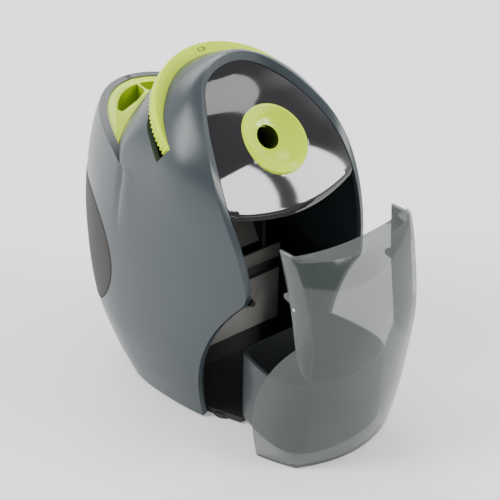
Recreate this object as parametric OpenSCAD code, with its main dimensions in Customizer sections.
// Desktop electric pencil sharpener with its shavings bin pulled out.
// +Z is up, the entry funnel faces -Y, and X = 0 is the plane where the side shells meet.
// Heights start at the table. Depths are measured from the shape datum, which place() centres.

/* [Body] */
// Height of the hood's highest point
hood_top = 162.4; // [158:0.2:168]
// Height of the front panel's highest point
panel_top = 158.2; // [154:0.2:162]
// Thickness of the side shells
shell_wall = 2.5; // [2:0.1:3]
// Width of the pale lip round the front opening
lip_w = 2.8; // [2:0.1:3.2]
// Gap between the shells' lower edge and the table
ground_gap = 0.8; // [0.6:0.1:1.2]
// Thickness of the base plate
base_t = 3; // [2.5:0.1:4]

/* [Bin] */
// Distance that the bin is pulled out as drawn
bin_out = 36.7; // [20:0.1:45]
// Thickness of the bin's cover
bin_wall = 2; // [1.6:0.1:2.4]
// Height of the cover's top corners
bin_top = 107.2; // [100:0.1:107.4]
// Height of the tray's walls
tray_h = 36; // [25:0.5:40]

/* [Pencil path] */
// Slope of the pencil's axis below level
pencil_tilt = 28; // [24:1:32]
// Radius of the entry hole
entry_r = 5.4; // [4.5:0.1:5.6]
// Radius of the funnel's rim
funnel_r = 16.5; // [15:0.1:16.8]
// Slope of the funnel's rim from upright
funnel_tilt = 45.4; // [44:0.1:47]

/* [Point selector] */
// Outer radius of the selector ring
dial_r = 42.7; // [42:0.1:43]
// Inner radius of the selector ring
dial_bore = 35; // [34.8:0.1:36]
// Width of the selector ring
dial_w = 7; // [6:0.1:7.4]
// Slope of the selector's axis above level
dial_tilt = 52.5; // [51:0.5:54]
// Number of ribs on the selector's rim
dial_ribs = 120; // [60:10:160]

/* [Gears] */
// Tooth size: pitch diameter over number of teeth
module_mm = 0.8; // [0.8:0.1:0.8]
// Teeth on the motor's pinion
pinion_teeth = 10; // [10:1:12]
// Teeth on the idler gear
idler_teeth = 30; // [28:2:32]
// Teeth on the cutter carrier's drive gear
carrier_teeth = 40; // [38:2:40]
// Teeth on the fixed internal gear
annulus_teeth = 36; // [36:12:36]
// Teeth on the cutter's own gear
planet_teeth = 12; // [12:12:12]

/* [Hidden] */

// Shape datum to the middle of the object's footprint, bin out
origin_y = 7.3;

// Colours
shell_grey = [0.40, 0.44, 0.46];
lime = [0.76, 0.85, 0.42];
gloss_black = [0.08, 0.08, 0.09];
dark_grey = [0.16, 0.16, 0.17];
rubber = [0.24, 0.23, 0.23];
smoke = [0.45, 0.49, 0.49, 0.85];
steel = [0.72, 0.72, 0.74];
brass = [0.80, 0.66, 0.32];

// Body stations by height: front edge half width and depth, half width, its depth, rear depth
STATIONS = [
    [0, 28.4, -33, 41.5, 22, 64],
    [15, 28.4, -36.8, 45.8, 26, 79],
    [35, 29, -40, 49.3, 30, 91],
    [70, 31, -42.3, 50.4, 28, 98.5],
    [95, 34, -38.2, 48.6, 21, 100.5],
    [115, 36.4, -29, 46.8, 13, 97],
    [130, 37, -19, 45.8, 9.5, 90],
    [145, 37, -2.7, 45, 9, 85],
    [154, 37, 10, 44.4, 11, 80],
    [162.4, 37, 16, 44, 15.2, 75]];
EDGE_X = 1;
EDGE_Y = 2;
HALF_W = 3;
SIDE_Y = 4;
REAR_Y = 5;

// Smooth curve through the stations
last = len(STATIONS) - 1;
function seg(z, i = 0) = (i >= last - 1 || z < STATIONS[i + 1][0]) ? i : seg(z, i + 1);
function rise(k, c) =
    let (a = STATIONS[max(k - 1, 0)], b = STATIONS[min(k + 1, last)])
    (b[c] - a[c]) / (b[0] - a[0]);
function shape(z, c) =
    let (i = seg(z), h = STATIONS[i + 1][0] - STATIONS[i][0], t = (z - STATIONS[i][0]) / h)
    (2 * t * t * t - 3 * t * t + 1) * STATIONS[i][c]
    + (t * t * t - 2 * t * t + t) * h * rise(i, c)
    + (3 * t * t - 2 * t * t * t) * STATIONS[i + 1][c]
    + (t * t * t - t * t) * h * rise(i + 1, c);

// Falls from 1 at height a to 0 at height b, with the roundness of an arch
function arch(z, a, b, p, q) = pow(max(0, 1 - pow(max(0, (z - a) / (b - a)), p)), q);
function ease(z, a, b) = let (t = min(1, max(0, (z - a) / (b - a)))) t * t * (3 - 2 * t);

// Inner and outer edges of the lip round the front opening
arch_z = 100;
function edge_x(z) = shape(z, EDGE_X) * arch(z, arch_z, panel_top, 2.6, 0.5);
function edge_y(z) = shape(z, EDGE_Y);
function lip_x(z) = (shape(z, EDGE_X) + lip_w) * arch(z, arch_z, hood_top, 2.6, 0.5);
function lip_y(z) =
    let (k = (panel_top - arch_z) / (hood_top - arch_z), zi = z < arch_z ? z : arch_z + (z - arch_z) * k)
    shape(zi, EDGE_Y) + 1.2 - 1.1 * max(0, z - 140) / (hood_top - 140);

// Half width of the body, and the hood's rear ridge
function half_w(z) = max(shape(z, HALF_W) * arch(z, 105, hood_top, 3, 0.6), lip_x(z) * 1.02 + 0.01);
function ridge_y(z) = 14.6 + 72 * arch(z, 100, hood_top, 1.5, 0.77);

// The plane of the cup's rim slopes down to the front
cup_z = 125.2;
cup_y = 85;
cup_slope = 7.7;

// Steps round one side of a slice
front_steps = 4;
rear_steps = 12;

// One side of a slice from the front edge to the centre plane at the rear.
// inset thins the solid by the shell's wall, and raised() keeps the roof thick.
function raised(z, inset) = inset > 0 ? z + (hood_top - panel_top) * ease(z, 105, panel_top) : z;
function egg_side(z, inset) =
    let (zo = raised(z, inset), x1 = inset > 0 ? edge_x(z) : lip_x(z), y1 = inset > 0 ? edge_y(z) : lip_y(z),
        w = max(half_w(zo) - inset, x1 * 1.02 + 0.01), y0 = shape(zo, SIDE_Y), t0 = acos(x1 / w),
        df = (y0 - min(y1, y0 - 0.05)) / sin(t0), dr = shape(zo, REAR_Y) - inset - y0)
    concat([[x1, y1]],
        [for (k = [1 : front_steps]) let (t = t0 * (k / front_steps - 1)) [w * cos(t), y0 + df * sin(t)]],
        [for (k = [1 : rear_steps]) let (t = 90 * k / rear_steps) [w * cos(t), y0 + dr * sin(t)]]);

// Rear face of the hood: a rounded prow that leaves the body's side above the cup
prow_steps = 10;
function prow_side(z, inset) =
    let (zo = raised(z, inset), w = half_w(zo) - inset, y0 = shape(zo, SIDE_Y), s = ease(zo, 120, 148),
        ys = 30 * (1 - s) + y0 * s, ts = asin((ys - y0) / (shape(zo, REAR_Y) - y0)),
        ws = w * cos(ts) * 1.02 + 0.3, a = 2 / (0.92 + 1.08 * s), b = 2 / (1.5 + 0.5 * s),
        d = max(1, ridge_y(zo) - inset - ys))
    [for (k = [0 : prow_steps]) let (t = 90 * k / prow_steps)
        [ws * pow(max(0, cos(t)), a), ys + d * pow(sin(t), b)]];

// Closed outline from one side and its mirror image; forward carries an inner solid out of the front
function outline(side, forward) =
    let (n = len(side), front = forward > 0 ? [[side[0][0], side[0][1] - forward]] : [])
    concat(front, side, [for (k = [n - 2 : -1 : 0]) [-side[k][0], side[k][1]]],
        forward > 0 ? [[-side[0][0], side[0][1] - forward]] : []);
function lift(points, z) = [for (p = points) [p[0], p[1], z]];

// Solid through rows of points that run the same way round, lowest row first
module loft(rows) {
    n = len(rows[0]);
    m = len(rows);
    sides = [for (i = [0 : m - 2], j = [0 : n - 1]) let (a = i * n + j, b = i * n + (j + 1) % n)
        each [[a, b + n, b], [a, a + n, b + n]]];
    caps = [[for (j = [0 : n - 1]) j], [for (j = [n - 1 : -1 : 0]) (m - 1) * n + j]];
    polyhedron([for (r = rows) each r], concat(sides, caps), convexity = 6);
}

// Sheet with a front row and a back row of points at each level, closed along its edges
module sheet(fronts, backs) {
    n = len(fronts[0]);
    m = len(fronts);
    w = 2 * n;
    points = [for (i = [0 : m - 1]) each concat(fronts[i], [for (j = [n - 1 : -1 : 0]) backs[i][j]])];
    sides = [for (i = [0 : m - 2], j = [0 : w - 1]) let (a = i * w + j, b = i * w + (j + 1) % w)
        each [[a, b + w, b], [a, a + w, b + w]]];
    bottom = [for (j = [0 : n - 2]) each [[j, j + 1, w - 1 - j], [j + 1, w - 2 - j, w - 1 - j]]];
    t = (m - 1) * w;
    top = [for (j = [0 : n - 2]) each [[t + j, t + w - 1 - j, t + j + 1],
        [t + j + 1, t + w - 1 - j, t + w - 2 - j]]];
    polyhedron(points, concat(sides, bottom, top), convexity = 6);
}

module place() {
    translate([0, -origin_y, 0]) children();
}

// Frames: local +Y runs down the pencil's axis, and local +Z leaves the dial and the funnel's rim
hole_y = -12;
hole_z = 131.5;
dial_y = 2.8;
dial_z = 134.1;
rim_y = -17.5;
rim_z = 133.3;
module pencil_frame() {
    translate([0, hole_y, hole_z]) rotate([-pencil_tilt, 0, 0]) children();
}
module dial_frame() {
    translate([0, dial_y, dial_z]) rotate([90 - dial_tilt, 0, 0]) children();
}
module rim_frame() {
    translate([0, rim_y, rim_z]) rotate([90 - funnel_tilt, 0, 0]) children();
}

// Bar, tube and pin along the local Y axis, and pin along X
module bar(r, s0, s1, h = 0) {
    translate([0, s0, h]) rotate([-90, 0, 0]) cylinder(r = r, h = s1 - s0, $fn = 64);
}
module tube(r, bore, s0, s1, h = 0) {
    difference() {
        bar(r, s0, s1, h);
        bar(bore, s0 - 1, s1 + 1, h);
    }
}
module pin_x(r, x0, x1, y, z) {
    translate([x0, y, z]) rotate([0, 90, 0]) cylinder(r = r, h = x1 - x0, $fn = 48);
}
module box(x0, x1, y0, y1, z0, z1) {
    translate([x0, y0, z0]) cube([x1 - x0, y1 - y0, z1 - z0]);
}
module both_sides() {
    children();
    mirror([1, 0, 0]) children();
}

// Egg-shaped solid, and the space in front of the hood's prow; inset 0 is the outside
EGG_Z = [ground_gap, 7, 15, 25, 38, 52, 66, 80, 94, 106, 116, 124, 131, 137, 142, 146, 150, 153, 156, 158.5,
    160.5, 162];
EGG_IN_Z = [-1, 7, 15, 25, 38, 52, 66, 80, 94, 106, 116, 124, 131, 137, 142, 146, 150, 153, 155.5, 157.4];
PROW_Z = [105, 112, 118, 123, 128, 133, 137, 141, 145, 149, 153, 157, 160, 163];
front_clear = 30;
module egg(inset, low = -10, high = 200) {
    loft([for (z = inset > 0 ? EGG_IN_Z : EGG_Z) if (z >= low && z <= high)
        lift(outline(egg_side(max(0, z), inset), inset > 0 ? front_clear : 0), z)]);
}
module before_prow(inset) {
    loft([for (z = PROW_Z) let (s = prow_side(min(z, hood_top - 0.3), inset))
        lift(outline(concat([[90, -90], [90, s[0][1] - 1]], s), 0), z)]);
}
module hood_carve(inset) {
    difference() {
        translate([0, cup_y, cup_z]) rotate([cup_slope, 0, 0]) translate([-70, -75, 0]) cube([140, 140, 60]);
        before_prow(inset);
    }
}
module below_cup(drop) {
    translate([0, cup_y, cup_z - drop]) rotate([cup_slope, 0, 0]) translate([-100, -200, -200])
        cube([200, 300, 200]);
}

// The bin's cheeks fill this sweep of the shells' front edge
sweep_top = 76;
sweep_back = -15;
sweep_reach = 28.5;
function sweep_y(z) = sweep_back - sweep_reach * pow(min(1, max(0, z) / sweep_top), 2.7);
module bin_sweep() {
    edge = [for (k = [0 : 12]) let (z = sweep_top * k / 12) [sweep_y(z), z]];
    rotate([90, 0, 90]) translate([0, 0, -60]) linear_extrude(height = 120)
        polygon(concat([[-90, -5], [sweep_back, -5]], edge, [[-90, sweep_top]]));
}

// Slot that the selector ring turns in
slot_front = 0.5;
slot_back = -9;
slot_r = 45;
module slot_ring(r, bore, w0, w1, v) {
    dial_frame() translate([0, 0, w0]) difference() {
        cylinder(r = r, h = w1 - w0, $fn = 96);
        translate([0, 0, -1]) cylinder(r = bore, h = 20, $fn = 96);
        translate([-60, v - 100, -1]) cube([120, 100, 20]);
    }
}
module dial_slot() {
    slot_ring(slot_r, dial_bore - 3, slot_back, slot_front, -10);
    slot_ring(dial_r + 0.5, dial_bore - 3.7, -dial_w - 0.5, 0.2, -30);
}

// Rubber pad: an oval patch of the body's surface between two depths
pad_angle = 45;
pad_z = 60;
pad_span = 38.5;
pad_half = 31;
function skin(z, t, inset) =
    let (w = half_w(z) - inset, y0 = shape(z, SIDE_Y), d = shape(z, REAR_Y) - inset - y0)
    [w * cos(t), y0 + d * sin(t), z];
pad_aim = 38;
function pad_edge(grow) = [for (k = [0 : 35]) let (a = 10 * k,
    p = skin(pad_z + (pad_half + grow) * sin(a), pad_angle + (pad_span + grow) * cos(a), 0))
    [p[1] * cos(pad_aim) - p[0] * sin(pad_aim), p[2]]];
module pad_prism(side, grow) {
    mirror([side < 0 ? 1 : 0, 0, 0]) rotate([90, 0, pad_aim + 90]) translate([0, 0, 20])
        linear_extrude(height = 100) polygon(pad_edge(grow));
}
module pad(side) {
    intersection() {
        pad_prism(side, 0);
        difference() {
            egg(-0.2, 25, 94);
            egg(1.1, 15, 106);
        }
    }
}

// Screw bosses between the shells, under the rubber pads
BOSSES = [[80, 40], [84, 78]];
boss_r = 5;
screw_r = 1.5;
head_x = 10;
module boss(side) {
    for (b = BOSSES) intersection() {
        pin_x(boss_r, side > 0 ? 0.1 : -40, side > 0 ? 40 : -0.1, b[0], b[1]);
        egg(1.5);
    }
}

// Mains inlet in the rear of the base
gland_z = 12;
gland_r = 6.3;

module shell(side) {
    difference() {
        union() {
            difference() {
                egg(0);
                hood_carve(0);
                difference() {
                    egg(shell_wall);
                    hood_carve(shell_wall);
                }
            }
            boss(side);
        }
        dial_slot();
        bin_sweep();
        for (b = BOSSES) {
            pin_x(side > 0 ? screw_r + 0.1 : screw_r + 0.02, -12, head_x + 1, b[0], b[1]);
            if (side > 0) pin_x(3.2, head_x, 60, b[0], b[1]);
        }
        difference() {
            pad_prism(side, 0.3);
            egg(1.2, 15, 106);
        }
        bar_at_gland(gland_r + 0.2, 55, 95);
        box(side > 0 ? -100 : -0.05, side > 0 ? 0.05 : 100, -100, 150, -10, 200);
    }
}
module bar_at_gland(r, y0, y1) {
    translate([0, y0, gland_z]) rotate([-90, 0, 0]) cylinder(r = r, h = y1 - y0, $fn = 48);
}
module left_shell() {
    color(shell_grey) place() shell(-1);
}
module right_shell() {
    color(shell_grey) place() shell(1);
}

// Front panel: bulges between the shells' edges, with a smile-shaped lower edge
panel_wall = 2;
panel_low = 109.6;
panel_drop = 5;
panel_gap = 0.3;
function panel_bulge(z) = 5.8 * arch(z, 95, panel_top, 1, 0.8);
function panel_point(z, u, depth) =
    let (x = max(0.2, edge_x(z) - panel_gap) - depth * 0.35, f = 1 - ease(z, panel_low, panel_low + 28))
    [u * x, edge_y(z) + panel_gap + depth - panel_bulge(z) * (1 - u * u), z - panel_drop * f * (1 - u * u)];
module front_panel() {
    rows = [panel_low, 113, 117, 122, 127, 132, 137, 142, 146, 149, 152, 154.5, 156.4, 157.6];
    us = [for (k = [-8 : 8]) k / 8];
    color(gloss_black) place() difference() {
        sheet([for (z = rows) [for (u = us) panel_point(z, u, 0)]],
            [for (z = rows) [for (u = us) panel_point(z, u, panel_wall)]]);
        rim_frame() translate([0, 0, -20]) cylinder(r = funnel_r + 0.2, h = 40, $fn = 96);
    }
}

// Entry funnel: a shallow dish with an oblique tube for the pencil
tube_end = 13.5;
module entry_funnel() {
    color(lime) place() difference() {
        union() {
            rim_frame() rotate_extrude($fn = 96) polygon([[0, -4.9], [5, -4.8], [8, -4.3], [11, -3.2],
                [13.5, -1.7], [15, -0.4], [15.6, 0], [16.2, -0.15], [funnel_r, -0.8], [funnel_r, -3.4],
                [15, -4.4], [11, -6.3], [7, -7.2], [0, -7.4]]);
            pencil_frame() bar(7, 0.5, tube_end);
        }
        pencil_frame() bar(entry_r, -12, 20);
    }
}

// Selector: part of a ring, open where the bin's top passes, with a ribbed rim
dial_gap = 110;
module wedge(angle, reach) {
    polygon([[0, 0], [reach * cos(-90 - angle / 2), reach * sin(-90 - angle / 2)], [0, -reach * 1.2],
        [reach * cos(-90 + angle / 2), reach * sin(-90 + angle / 2)]]);
}
module selector_dial() {
    rib = 0.35;
    smooth = 1.6;
    star = [for (k = [0 : 2 * dial_ribs - 1]) let (a = 180 * k / dial_ribs, r = dial_r - (k % 2) * 2 * rib)
        [r * cos(a), r * sin(a)]];
    color(lime) place() dial_frame() translate([0, 0, -dial_w]) difference() {
        union() {
            linear_extrude(height = dial_w - smooth) polygon(star);
            translate([0, 0, dial_w - smooth]) cylinder(r = dial_r - 2.4 * rib, h = smooth, $fn = 128);
        }
        translate([0, 0, -1]) cylinder(r = dial_bore, h = dial_w + 2, $fn = 128);
        translate([0, 0, -1]) linear_extrude(height = dial_w + 2) wedge(dial_gap, 80);
    }
}

// Pencil cup: a sloping lime deck behind the hood, with two pockets either side of a web
cup_floor = 86;
cup_web = 1.6;
function cup_edge(inset) =
    let (s = [for (k = [0 : 14]) let (t = 12 + 78 * k / 14) skin(115.3 + 10.8 * sin(t), t, inset)])
    concat([for (p = s) [p[0], p[1]]], [for (k = [13 : -1 : 0]) [-s[k][0], s[k][1]]]);
function prow(grow) =
    let (s = [for (p = prow_side(123, 0)) [p[0] + (p[0] > 0.01 ? grow : 0), p[1] + grow]])
    outline(concat([[s[0][0], -20]], s), 0);
module cup_column(inset, grow, z0, z1) {
    difference() {
        translate([0, 0, z0]) linear_extrude(height = z1 - z0) polygon(cup_edge(inset));
        translate([0, 0, z0 - 1]) linear_extrude(height = z1 - z0 + 2) polygon(prow(grow));
    }
}
module pencil_cup() {
    color(lime) place() difference() {
        union() {
            difference() {
                intersection() {
                    cup_column(3.6, 0.6, 100, 140);
                    below_cup(0.2);
                }
                below_cup(2.2);
            }
            intersection() {
                cup_column(8.2, 1.6, cup_floor, 140);
                below_cup(0.3);
                box(-28, 28, 61, 100, 0, 200);
            }
        }
        difference() {
            intersection() {
                cup_column(9.8, 3.2, cup_floor + 1.6, 150);
                box(-26.4, 26.4, 62.6, 100, 0, 200);
            }
            box(-cup_web / 2, cup_web / 2, 0, 120, 0, cup_z);
        }
    }
}

module left_grip() {
    color(rubber) place() pad(-1);
}
module right_grip() {
    color(rubber) place() pad(1);
}

// Bin cover: a bulging front, cheeks that complete the egg, a top ledge and two guide tabs
module pull_out() {
    translate([0, -bin_out, 0]) children();
}
cover_low = 0.6;
cheek_gap = 0.4;
function cover_x(z) = edge_x(z) - 2 * ease(z, 60, 95);
function cover_y(z) = edge_y(z) + 1.2 * ease(z, 60, 95);
function cover_bulge(z) = 7.5 - 0.01 * z;
function cover_front(z, u, depth) =
    [u * (cover_x(z) - depth), cover_y(z) + depth * 0.9 - cover_bulge(z) * (1 - u * u),
        z - 4.1 * ease(z, 55, bin_top) * (1 - u * u)];
function cheek(z, k, depth) =
    let (x1 = cover_x(z), y1 = cover_y(z), w = half_w(z), y0 = shape(z, SIDE_Y), t0 = acos(x1 / w),
        d = (y0 - y1) / sin(t0), yr = max(sweep_y(z) - cheek_gap, y1 + 0.8),
        t1 = asin((y0 - yr) / d), t = t0 + (t1 - t0) * k, n = depth * ease(k, 0, 0.4))
    [(w - n) * cos(t) - (depth - n), y0 - d * sin(t) + (depth - n) * 0.9, z];
function cover_row(z, depth) =
    let (side = [for (k = [1 : 5]) cheek(z, k / 5, depth)])
    concat([for (k = [4 : -1 : 0]) [-side[k][0], side[k][1], z]],
        [for (k = [-8 : 8]) cover_front(z, k / 8, depth)], side);
ledge_z = 108.7;
ledge_y = -29.8;
function ledge_row(depth) = [for (p = cover_row(bin_top, depth)) let (u = max(-1, min(1, p[0] / 33)))
    [u * (33.4 - depth * 0.4), ledge_y + depth * 0.3 + 0.02 * abs(u),
        ledge_z - depth * 0.6 - 4.2 * (1 - u * u)]];
TAB_Z = [50, 62, 74, 84, 94, 102, ledge_z - 0.4];
tab_wall = 1.6;
function tab_row(z) = let (x = cover_x(z) - 0.5, y = cover_y(z) + 1.6, yr = -31.8 + (z - 57.5) * 0.196)
    [[x, y, z], [x, yr, z], [x - tab_wall, yr, z], [x - tab_wall, y, z]];
module bin_cover() {
    rows = [cover_low, 8, 18, 30, 42, 54, 64, 71, 76, 85, 93, 100, bin_top];
    color(smoke) place() pull_out() {
        sheet(concat([for (z = rows) cover_row(z, 0)], [ledge_row(0)]),
            concat([for (z = rows) cover_row(z, bin_wall)], [ledge_row(bin_wall)]));
        both_sides() {
            loft([for (z = TAB_Z) tab_row(z)]);
            translate([cover_x(86) - 1.9, -26.4, 82.5]) cube([1.4, 4, 4.6]);
        }
    }
}

// Tray: a box on the base plate, behind the cover
tray_floor = 4.1;
tray_wall = 1.6;
TRAY = [[0, 8.7], [22, 8.7], [25, 7.9], [27, 5.7], [27.8, 3], [29.5, -6], [30.2, -14], [30, -22], [28, -28],
    [23, -32.8], [15, -35.9], [0, -37.6]];
function tray_edge(inset) = let (n = len(TRAY), k = 1 - inset / 26,
    side = [for (p = TRAY) [p[0] * k, -14 + (p[1] + 14) * k]])
    concat(side, [for (i = [n - 2 : -1 : 1]) [-side[i][0], side[i][1]]]);
module bin_tray() {
    color(smoke) place() pull_out() difference() {
        translate([0, 0, tray_floor]) linear_extrude(height = tray_h) polygon(tray_edge(0));
        translate([0, 0, tray_floor + tray_wall]) linear_extrude(height = tray_h)
            polygon(tray_edge(tray_wall));
    }
}

// Base plate with recesses for the feet and the screws
base_top = ground_gap + base_t;
FEET = [[26, -18], [21, 48]];
BASE_SCREWS = [[26, 20], [26, 38]];
foot_r = 6;
foot_h = 2.4;
module base_plate() {
    inset = 3.6;
    s = egg_side(3, inset);
    color(dark_grey) place() difference() {
        intersection() {
            translate([0, 0, ground_gap]) linear_extrude(height = base_t) polygon(outline(s, 20));
            box(-60, 60, -30, 64, 0, 10);
            linear_extrude(height = 10)
                polygon([[-60, 100], [-60, -10], [-34, -12], [-26.8, -30], [26.8, -30], [34, -12], [60, -10],
                    [60, 100]]);
        }
        both_sides() {
            for (f = FEET) translate([f[0], f[1], 0]) cylinder(r = foot_r + 0.1, h = foot_h + 0.05, $fn = 48);
            for (b = BASE_SCREWS) translate([b[0], b[1], 0]) {
                cylinder(r = 3, h = 2.7, $fn = 32);
                cylinder(r = screw_r + 0.1, h = 10, $fn = 32);
            }
        }
    }
}
module rubber_feet() {
    color(rubber) place() both_sides() for (f = FEET) translate([f[0], f[1], 0])
        cylinder(r = foot_r, h = foot_h, $fn = 48);
}
module base_screws() {
    color(steel) place() both_sides() for (b = BASE_SCREWS) translate([b[0], b[1], 1]) {
        cylinder(r = 2.8, h = 1.6, $fn = 32);
        cylinder(r = screw_r, h = 10, $fn = 32);
    }
}
module cord_gland() {
    color(dark_grey) place() difference() {
        bar_at_gland(gland_r, 66, 79);
        bar_at_gland(3.6, 60, 90);
    }
}

// Stations down the pencil's axis
bush_s = 21;
wall_s = 26.6;
head_s = 28.5;
cut_s = 32;
annulus_s = 51.2;
disc_s = 56;
gear_s = 60;
gear_w = 4;
plate_s = 65.2;
cutter_h = module_mm * (annulus_teeth - planet_teeth) / 2;
idler_h = -module_mm * (carrier_teeth + idler_teeth) / 2;
motor_h = idler_h - module_mm * (idler_teeth + pinion_teeth) / 2;
journal_r = 7;
rear_journal_r = 5;
plate_x = 21;

// Chassis: bay walls, two side plates, the selector's guide and the sloping gear plate
module chassis_frame() {
    side_view = [[12.5, base_top], [12.5, 56], [14, 100], [4, 110], [-13, 110.5], [-11, 113.5], [9, 122],
        [22, 140], [27, 144], [30, 141], [31, 128], [52, 112], [48, 80], [44, base_top]];
    color(dark_grey) place() difference() {
        union() {
            box(-33, 33, 12.5, 14.5, base_top, 57);
            both_sides() {
                box(32.2, 33.6, -10, 14.5, base_top, 52);
                rotate([90, 0, 90]) translate([0, 0, plate_x]) linear_extrude(height = 2) polygon(side_view);
                for (b = BASE_SCREWS) box(22, 30.5, b[1] - 4, b[1] + 4, base_top, 13);
            }
            dial_frame() {
                translate([0, 0, -8.9]) cylinder(r = 38, h = 1.5, $fn = 96);
                translate([0, 0, -8.9]) cylinder(r = dial_bore - 0.3, h = 8.9, $fn = 96);
            }
            pencil_frame() box(-22, 22, plate_s, plate_s + 2, -62, 12);
        }
        dial_frame() translate([0, 0, -12]) cylinder(r = dial_bore - 3.2, h = 20, $fn = 96);
        pencil_frame() {
            bar(8.02, 60, 70);
            bar(3.2, 60, 70, motor_h);
            for (x = [-9, 9]) translate([x, 0, 0]) bar(1.6, 60, 70, motor_h);
            bar(2.02, 60, 70, idler_h);
        }
        translate([interlock_x, 0, interlock_z]) bar(1.55, 5, 20);
        both_sides() for (b = BASE_SCREWS) translate([b[0], b[1], 0])
            cylinder(r = screw_r + 0.02, h = 12, $fn = 32);
    }
}
module chute_plate() {
    color([0.30, 0.30, 0.29]) place() pencil_frame() box(-20.8, 20.8, 57.2, 58.6, -50, -19);
}
module cutter_housing() {
    color(dark_grey) place() pencil_frame() difference() {
        union() {
            bar(20.8, wall_s, annulus_s - 0.1);
            both_sides() box(5, 6.6, 14.5, wall_s + 0.5, 12.4, 17.6);
        }
        bar(19.4, wall_s + 1.6, 80);
        bar(9.02, 0, 60);
        box(-30, 30, wall_s + 1.6, 80, -30, -4);
        box(-30, 30, 0, 80, -30, -14);
        pin_x(1.25, -10, 10, lever_s, lever_h);
    }
}
function wheel(teeth, root, tip, w_root, w_tip) =
    let (r = module_mm * teeth / 2, p = 360 / teeth)
    [for (k = [0 : teeth - 1]) each [for (c = [[root, -w_root], [tip, -w_tip], [tip, w_tip], [root, w_root]])
        let (a = p * (k + c[1]), q = r + c[0] * module_mm) [q * cos(a), q * sin(a)]]];
module gear(teeth, s0, w, bore, h, turn = 0) {
    translate([0, s0, h]) rotate([-90, 0, 0]) rotate([0, 0, turn]) difference() {
        linear_extrude(height = w) polygon(wheel(teeth, -0.95, 0.7, 0.28, 0.11));
        translate([0, 0, -1]) cylinder(r = bore, h = w + 2, $fn = 48);
    }
}
module annulus_gear() {
    color(steel) place() pencil_frame() translate([0, annulus_s, 0]) rotate([-90, 0, 0]) difference() {
        cylinder(r = 20.8, h = gear_w, $fn = 96);
        translate([0, 0, -1]) linear_extrude(height = gear_w + 2)
            polygon(wheel(annulus_teeth, -0.7, 0.95, 0.39, 0.22));
    }
}
module front_bush() {
    color(brass) place() pencil_frame() {
        tube(9, journal_r + 0.05, bush_s, wall_s + 1.4);
    }
}
module rear_bush() {
    color(brass) place() pencil_frame() {
        tube(8, rear_journal_r + 0.05, plate_s, plate_s + 4);
    }
}
module cutter_carrier() {
    color(steel) place() pencil_frame() difference() {
        union() {
            bar(journal_r, 20.5, head_s + 0.5);
            bar(15, head_s, head_s + 2.5);
            bar(13, disc_s, disc_s + 2.5);
            bar(rear_journal_r, disc_s + 2, 70);
            both_sides() box(9, 12, head_s + 1, disc_s + 1, -4, 4);
        }
        bar(4.8, 10, head_s + 4);
        bar(2.4, 40, 80);
        bar(1.52, 20, 60, cutter_h);
    }
}
module carrier_gear() {
    color("white") place() pencil_frame() gear(carrier_teeth, gear_s, gear_w, rear_journal_r + 0.01, 0);
}
module cutter_axle() {
    color(steel) place() pencil_frame() bar(1.5, head_s, disc_s + 2.5, cutter_h);
}

// Cutter: a cone that leaves the pencil's point, with raked flutes
module helical_cutter() {
    flutes = 10;
    rake = 18;
    color(steel) place() pencil_frame() translate([0, cut_s, cutter_h]) rotate([-90, 0, 0]) difference() {
        cylinder(r1 = cutter_h - 4.4, r2 = cutter_h - 0.6, h = 18, $fn = 64);
        translate([0, 0, -1]) cylinder(r = 1.55, h = 20, $fn = 32);
        for (k = [0 : flutes - 1]) rotate([0, 0, 360 * k / flutes]) translate([7.7, 0, 9])
            rotate([rake, 11.9, 0]) box(-0.9, 2, -0.5, 0.5, -14, 14);
    }
}
module cutter_gear() {
    color(steel) place() pencil_frame() gear(planet_teeth, annulus_s + 0.2, gear_w - 0.6, 1.55, cutter_h);
}
module idler_gear() {
    color("white") place() pencil_frame() gear(idler_teeth, gear_s, gear_w, 2.05, idler_h);
}
module idler_axle() {
    color(steel) place() pencil_frame() bar(2, gear_s - 1, plate_s + 2, idler_h);
}
module motor_pinion() {
    color(brass) place() pencil_frame() gear(pinion_teeth, gear_s, gear_w, 1.17, motor_h, 180 / pinion_teeth);
}
module motor_shaft() {
    color(steel) place() pencil_frame() bar(1.15, gear_s - 0.5, 100, motor_h);
}
motor_s = plate_s + 2.2;
motor_r = 15;
motor_end = 104;
module motor_can() {
    color(steel) place() pencil_frame() difference() {
        bar(motor_r, motor_s, motor_end, motor_h);
        bar(1.2, 50, motor_end + 1, motor_h);
        for (x = [-9, 9]) translate([x, 0, 0]) bar(1.5, 60, motor_s + 5, motor_h);
    }
}
module motor_end_cap() {
    color(dark_grey) place() pencil_frame() union() {
        bar(motor_r - 0.6, motor_end + 0.02, motor_end + 3, motor_h);
        bar(4, motor_end + 2, motor_end + 5, motor_h);
    }
}
module motor_screws() {
    color(steel) place() pencil_frame() for (x = [-9, 9]) translate([x, 0, 0]) {
        bar(1.45, plate_s - 0.5, motor_s + 4.5, motor_h);
        bar(2.6, plate_s - 1.6, plate_s - 0.05, motor_h);
    }
}
module point_stop() {
    color(lime) place() pencil_frame() {
        bar(2.3, 54.8, 76);
        bar(4.5, 73, 76);
    }
}

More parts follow.
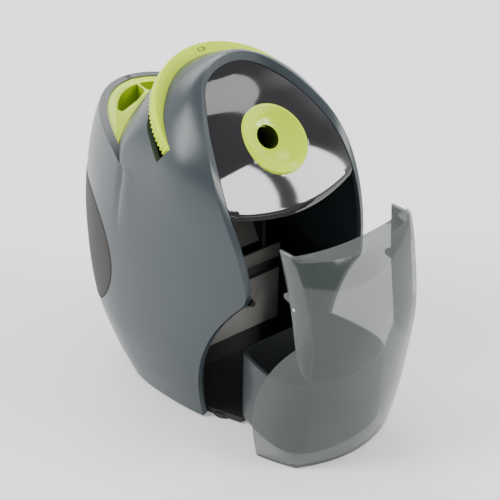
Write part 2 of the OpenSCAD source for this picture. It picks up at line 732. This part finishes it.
// Start lever in the pencil's path, behind the funnel's tube
lever_s = 17;
lever_h = 15;
module start_lever() {
    color(dark_grey) place() pencil_frame() difference() {
        union() {
            pin_x(2.5, -3, 3, lever_s, lever_h);
            box(-2, 2, lever_s - 0.8, lever_s + 0.8, 1.5, lever_h);
        }
        pin_x(1.23, -5, 5, lever_s, lever_h);
    }
}
module lever_pin() {
    color(steel) place() pencil_frame() pin_x(1.2, -6.8, 6.8, lever_s, lever_h);
}
module coil(r, wire, turns, pitch) {
    for (k = [0 : turns - 1]) translate([0, 0, k * pitch]) rotate_extrude($fn = 32)
        translate([r, 0]) circle(r = wire, $fn = 16);
}
module lever_spring() {
    color(steel) place() pencil_frame() translate([3.6, lever_s, lever_h]) rotate([0, 90, 0])
        coil(1.75, 0.22, 3, 0.45);
}
module start_switch() {
    color(gloss_black) place() pencil_frame() {
        box(-3.6, 3.6, 20.4, 26.4, 10.8, 15.5);
        box(-1, 1, 19.2, 20.4, 11.2, 12.8);
    }
}

// Interlock that stops the motor while the bin is out
interlock_x = 13;
interlock_z = 30;
module interlock_plunger() {
    color(lime) place() translate([interlock_x, 0, interlock_z]) union() {
        bar(1.5, 9, 19.4);
        bar(2.6, 14.6, 15.6);
    }
}
module plunger_spring() {
    color(steel) place() translate([interlock_x, 16.2, interlock_z]) rotate([-90, 0, 0])
        coil(2, 0.25, 5, 0.7);
}
module interlock_switch() {
    color(gloss_black) place() difference() {
        box(interlock_x - 3.4, interlock_x + 7.5, 14.6, 27, interlock_z - 5, interlock_z + 5);
        box(interlock_x - 3.1, interlock_x + 3.1, 14, 21.8, interlock_z - 3.1, interlock_z + 3.1);
    }
}

// Control board on the base plate
board_z = 9;
module circuit_board() {
    color([0.12, 0.35, 0.2]) place() union() {
        box(-19.5, 19.5, 20, 62, board_z, board_z + 1.6);
        for (x = [-16, 16], y = [25, 57]) translate([x, y, base_top])
            cylinder(r = 2.5, h = board_z - base_top, $fn = 32);
    }
}
module board_parts() {
    color([0.25, 0.27, 0.4]) place() {
        box(-14, 4, 40, 56, board_z + 1.62, board_z + 12);
        for (x = [9, 15], y = [32, 46]) translate([x, y, board_z + 1.62]) cylinder(r = 2.6, h = 8, $fn = 32);
        box(-12, -4, 24, 32, board_z + 1.62, board_z + 6);
        box(0, 6, 24, 30, board_z + 1.62, board_z + 5);
    }
}
module shell_screws() {
    color(steel) place() for (b = BOSSES) {
        pin_x(screw_r, -9, head_x, b[0], b[1]);
        pin_x(2.9, head_x + 0.05, head_x + 2.2, b[0], b[1]);
    }
}

left_shell();
right_shell();
front_panel();
entry_funnel();
selector_dial();
pencil_cup();
left_grip();
right_grip();
bin_cover();
bin_tray();
base_plate();
rubber_feet();
cord_gland();
chassis_frame();
chute_plate();
cutter_housing();
annulus_gear();
front_bush();
rear_bush();
cutter_carrier();
carrier_gear();
helical_cutter();
cutter_gear();
cutter_axle();
idler_gear();
idler_axle();
motor_pinion();
motor_shaft();
motor_can();
motor_end_cap();
motor_screws();
point_stop();
start_lever();
lever_pin();
lever_spring();
start_switch();
interlock_switch();
interlock_plunger();
plunger_spring();
circuit_board();
board_parts();
shell_screws();
base_screws();
